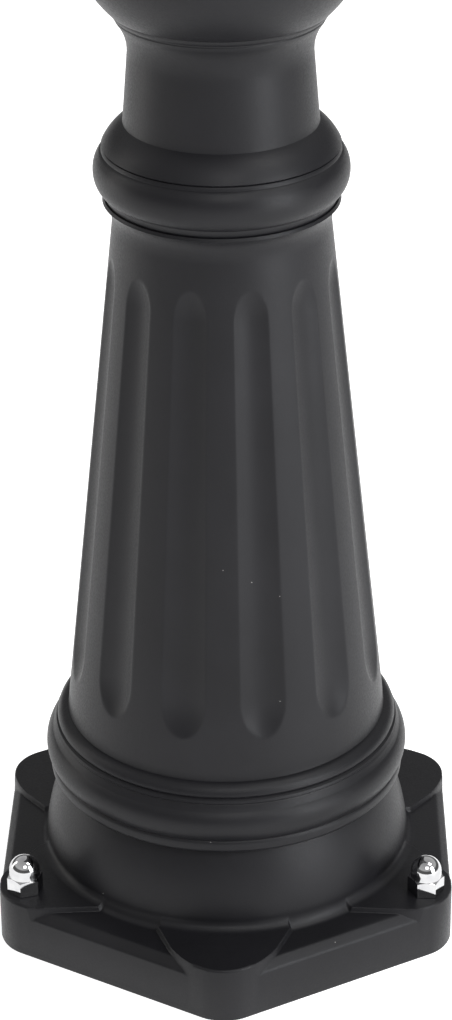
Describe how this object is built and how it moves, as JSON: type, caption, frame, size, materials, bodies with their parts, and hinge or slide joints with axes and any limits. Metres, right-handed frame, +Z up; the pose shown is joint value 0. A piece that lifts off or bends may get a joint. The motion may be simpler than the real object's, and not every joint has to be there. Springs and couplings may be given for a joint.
{
  "type": "street clock",
  "caption": "Post-mounted double-sided street clock on a hexagonal cast foot with a fluted tapered pedestal, hinged glazed doors and geared hands.",
  "frame": {"origin": "centre of the foot's underside, on the post's axis", "axes": "+Z up along the post, the front dial faces -Y, one corner of the hexagonal foot points to -Y"},
  "size_m": [0.484, 0.2902, 2.29],
  "materials": {
    "post_paint": "satin black powder coat on cast aluminium, fine orange peel",
    "bright_nut": "polished",
    "zinc_steel": "zinc plated",
    "stainless": "brushed stainless",
    "magnet": "nickel plated magnet",
    "glass": "clear toughened glass",
    "rubber": "matt black",
    "dial_enamel": "warm white enamel on aluminium sheet",
    "hand_black": "satin black",
    "brass": "turned and stamped brass",
    "cover_plastic": "moulded dust cover",
    "motor_can": "drawn steel can",
    "battery_wrap": "plain wrapped cell"
  },
  "bodies": {
    "post": {"base_casting": "post_paint", "shaft_casting": "post_paint", "neck_casting": "post_paint", "cup_casting": "post_paint", "pole_ring": "post_paint", "pole_tube": "post_paint", "capital_casting": "post_paint", "saddle_casting": "post_paint", "scroll_left": "post_paint", "scroll_right": "post_paint", "drum_case": "post_paint", "finial_base": "post_paint", "finial_spire": "post_paint", "cap_nuts": "bright_nut", "core_tube": "zinc_steel", "tube_flange": "zinc_steel", "flange_screws": "zinc_steel", "stack_nut": "zinc_steel", "saddle_screws": "zinc_steel", "case_screws": "zinc_steel", "scroll_screws": "zinc_steel", "finial_nut": "zinc_steel", "cover_screws": "zinc_steel", "hinge_pins": "stainless", "dial_screws": "stainless", "catch_magnets": "magnet", "dial_front": "dial_enamel", "dial_nut_front": "brass", "movement_frame_front": "brass", "movement_cover_front": "cover_plastic", "drive_motor_front": "motor_can", "battery_front": "battery_wrap", "dial_rear": "dial_enamel", "dial_nut_rear": "brass", "movement_frame_rear": "brass", "movement_cover_rear": "cover_plastic", "drive_motor_rear": "motor_can", "battery_rear": "battery_wrap"},
    "door_front": {"bezel_front": "post_paint", "glass_front": "glass", "glass_gasket_front": "rubber", "bezel_knob_front": "stainless"},
    "minute_train_front": {"center_arbor_front": "brass", "minute_hand_front": "hand_black", "hand_nut_front": "brass"},
    "hour_train_front": {"hour_wheel_front": "brass", "hour_hand_front": "hand_black"},
    "reduction_front": {"minute_wheel_front": "brass"},
    "drive_front": {"motor_pinion_front": "brass"},
    "door_rear": {"bezel_rear": "post_paint", "glass_rear": "glass", "glass_gasket_rear": "rubber", "bezel_knob_rear": "stainless"},
    "minute_train_rear": {"center_arbor_rear": "brass", "minute_hand_rear": "hand_black", "hand_nut_rear": "brass"},
    "hour_train_rear": {"hour_wheel_rear": "brass", "hour_hand_rear": "hand_black"},
    "reduction_rear": {"minute_wheel_rear": "brass"},
    "drive_rear": {"motor_pinion_rear": "brass"}
  },
  "joints": [
    {"name": "door_front_swing", "type": "hinge", "parent": "post", "child": "door_front", "pos_m": [-0.236, -0.062, 1.905], "axis": [0, 0, -1], "range_deg": [0, 110]},
    {"name": "minute_front_turn", "type": "hinge", "parent": "post", "child": "minute_train_front", "pos_m": [0, -0.062, 1.905], "axis": [0, 1, 0], "continuous": true},
    {"name": "hour_front_turn", "type": "hinge", "parent": "post", "child": "hour_train_front", "pos_m": [0, -0.062, 1.905], "axis": [0, 1, 0], "continuous": true},
    {"name": "reduction_front_turn", "type": "hinge", "parent": "post", "child": "reduction_front", "pos_m": [-0.02121, -0.062, 1.92621], "axis": [0, 1, 0], "continuous": true},
    {"name": "drive_front_turn", "type": "hinge", "parent": "post", "child": "drive_front", "pos_m": [0.0375, -0.062, 1.905], "axis": [0, 1, 0], "continuous": true},
    {"name": "door_rear_swing", "type": "hinge", "parent": "post", "child": "door_rear", "pos_m": [0.236, 0.062, 1.905], "axis": [0, 0, -1], "range_deg": [0, 110]},
    {"name": "minute_rear_turn", "type": "hinge", "parent": "post", "child": "minute_train_rear", "pos_m": [0, 0.062, 1.905], "axis": [0, -1, 0], "continuous": true},
    {"name": "hour_rear_turn", "type": "hinge", "parent": "post", "child": "hour_train_rear", "pos_m": [0, 0.062, 1.905], "axis": [0, -1, 0], "continuous": true},
    {"name": "reduction_rear_turn", "type": "hinge", "parent": "post", "child": "reduction_rear", "pos_m": [0.02121, 0.062, 1.92621], "axis": [0, -1, 0], "continuous": true},
    {"name": "drive_rear_turn", "type": "hinge", "parent": "post", "child": "drive_rear", "pos_m": [-0.0375, 0.062, 1.905], "axis": [0, -1, 0], "continuous": true}
  ],
  "couplings": [
    {"joint": "hour_front_turn", "follows": "minute_front_turn", "ratio": 0.083333},
    {"joint": "reduction_front_turn", "follows": "minute_front_turn", "ratio": -0.33333},
    {"joint": "drive_front_turn", "follows": "minute_front_turn", "ratio": -4},
    {"joint": "hour_rear_turn", "follows": "minute_rear_turn", "ratio": 0.083333},
    {"joint": "reduction_rear_turn", "follows": "minute_rear_turn", "ratio": -0.33333},
    {"joint": "drive_rear_turn", "follows": "minute_rear_turn", "ratio": -4}
  ]
}
